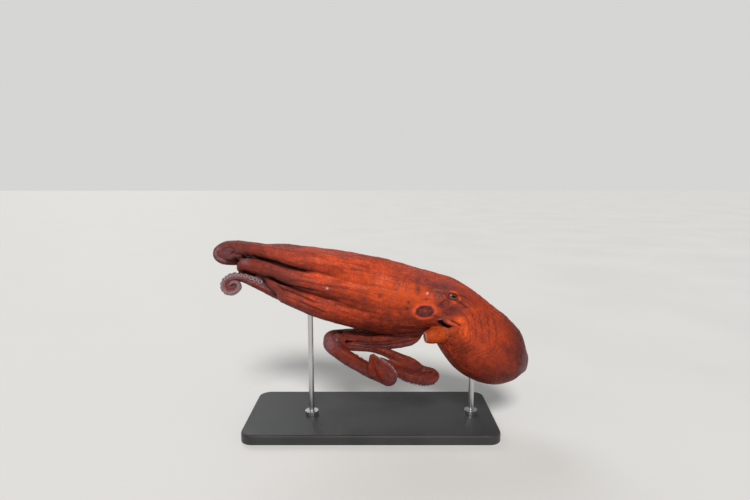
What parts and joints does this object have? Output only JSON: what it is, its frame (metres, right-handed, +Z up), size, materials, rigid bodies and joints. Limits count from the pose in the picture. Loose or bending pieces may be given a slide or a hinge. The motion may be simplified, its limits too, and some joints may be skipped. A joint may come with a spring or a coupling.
{
  "type": "day octopus",
  "caption": "Life-size reef octopus jetting mantle first with its arms trailed and folded, a still display model held by rods on a flat base.",
  "frame": {"origin": "middle of the underside of the display stand's base", "axes": "+X towards the tip of the mantle, the way the animal swims; +Z up; the left side of the animal faces -Y"},
  "size_m": [0.4673, 0.156, 0.2792],
  "materials": {
    "skin": "moist mottled red-brown skin, satin, with dark veining, pale specks and a lavender bloom along its edges",
    "eye": "wet, glossy eye with a rust and gold iris and a dark slit pupil",
    "stand_base": "satin black",
    "stand_rod": "brushed"
  },
  "bodies": {
    "root": {"arm_left_1_fold": "skin", "arm_left_1_middle": "skin", "arm_left_1_root": "skin", "arm_left_1_tip": "skin", "arm_left_2_middle": "skin", "arm_left_2_root": "skin", "arm_left_2_tip": "skin", "arm_left_3_fold": "skin", "arm_left_3_middle": "skin", "arm_left_3_root": "skin", "arm_left_3_tip": "skin", "arm_left_4_bend": "skin", "arm_left_4_fold": "skin", "arm_left_4_middle": "skin", "arm_left_4_root": "skin", "arm_left_4_tip": "skin", "arm_right_1_fold": "skin", "arm_right_1_middle": "skin", "arm_right_1_root": "skin", "arm_right_1_tip": "skin", "arm_right_2_fold": "skin", "arm_right_2_middle": "skin", "arm_right_2_root": "skin", "arm_right_2_tip": "skin", "arm_right_3_bend": "skin", "arm_right_3_fold": "skin", "arm_right_3_middle": "skin", "arm_right_3_root": "skin", "arm_right_3_tip": "skin", "arm_right_4_bend": "skin", "arm_right_4_fold": "skin", "arm_right_4_middle": "skin", "arm_right_4_root": "skin", "arm_right_4_tip": "skin", "eye_left": "eye", "eye_right": "eye", "funnel": "skin", "head": "skin", "mantle": "skin", "stand_base": "stand_base", "stand_rod_front": "stand_rod", "stand_rod_rear": "stand_rod", "stand_socket_front": "stand_rod", "stand_socket_rear": "stand_rod"}
  },
  "joints": []
}
